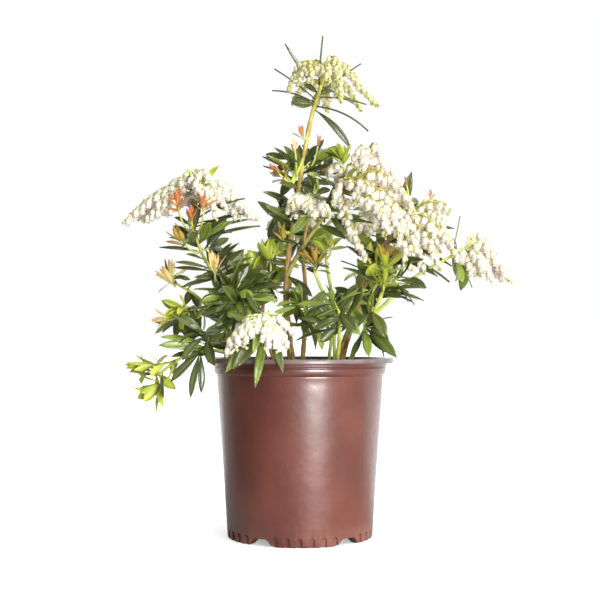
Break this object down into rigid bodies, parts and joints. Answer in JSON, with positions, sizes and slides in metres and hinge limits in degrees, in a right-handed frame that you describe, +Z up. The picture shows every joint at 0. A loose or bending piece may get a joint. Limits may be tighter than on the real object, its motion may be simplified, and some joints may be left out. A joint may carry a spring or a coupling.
{
  "type": "potted pieris shrub",
  "caption": "Evergreen flowering shrub with drooping clusters of white bell flowers and bronze new leaves, standing in a round plastic nursery pot.",
  "frame": {"origin": "middle of the pot's flat underside, on the pot's axis, at the level that the pot stands on", "axes": "+Z up along the pot's axis; -Y is the shrub's front; +X is to the right seen from the front"},
  "size_m": [0.4848, 0.2965, 0.6271],
  "materials": {
    "pot_plastic": "satin moulded, brown, with a dusty black lip",
    "growing_medium": "loose bark and peat mix",
    "bark": "finely ridged bark",
    "green_stem": "smooth young bark",
    "foliage": "glossy leathery leaves",
    "fresh_foliage": "soft satin new leaves",
    "bronze_foliage": "soft satin new leaves",
    "blossom": "waxy petals"
  },
  "bodies": {
    "root": {"pot": "pot_plastic", "growing_medium": "growing_medium", "leader": "bark", "right_bough": "bark", "right_back_stem": "bark", "left_mid_stem": "bark", "back_left_stem": "bark", "back_mid_stem": "bark", "back_right_stem": "bark", "left_stem": "green_stem", "right_stem": "green_stem", "far_right_bough": "green_stem", "centre_left_shoot": "green_stem", "centre_right_shoot": "green_stem", "left_outer_stem": "green_stem", "left_low_stem": "green_stem", "front_stem": "green_stem", "front_right_stem": "green_stem", "top_spray": "blossom", "crown_left": "foliage", "crown_right": "foliage", "inner_left": "foliage", "inner_right": "foliage", "right_blossom_head": "blossom", "right_outer_blossom": "blossom", "far_right_spray": "blossom", "right_leafy_mass": "foliage", "right_low_mass": "foliage", "front_right_mass": "foliage", "left_column": "foliage", "left_mid_mass": "foliage", "left_mid_fresh": "fresh_foliage", "left_outer_tuft": "bronze_foliage", "left_lower_mass": "foliage", "left_rim_mass": "foliage", "left_hanging_spray": "fresh_foliage", "front_blossom_mass": "blossom", "centre_low_mass": "foliage", "centre_left_tuft": "bronze_foliage", "centre_right_tuft": "fresh_foliage", "back_left_mass": "foliage", "back_left_low_mass": "foliage", "back_centre_mass": "foliage", "back_right_mass": "foliage", "back_low_mass": "foliage"}
  },
  "joints": []
}
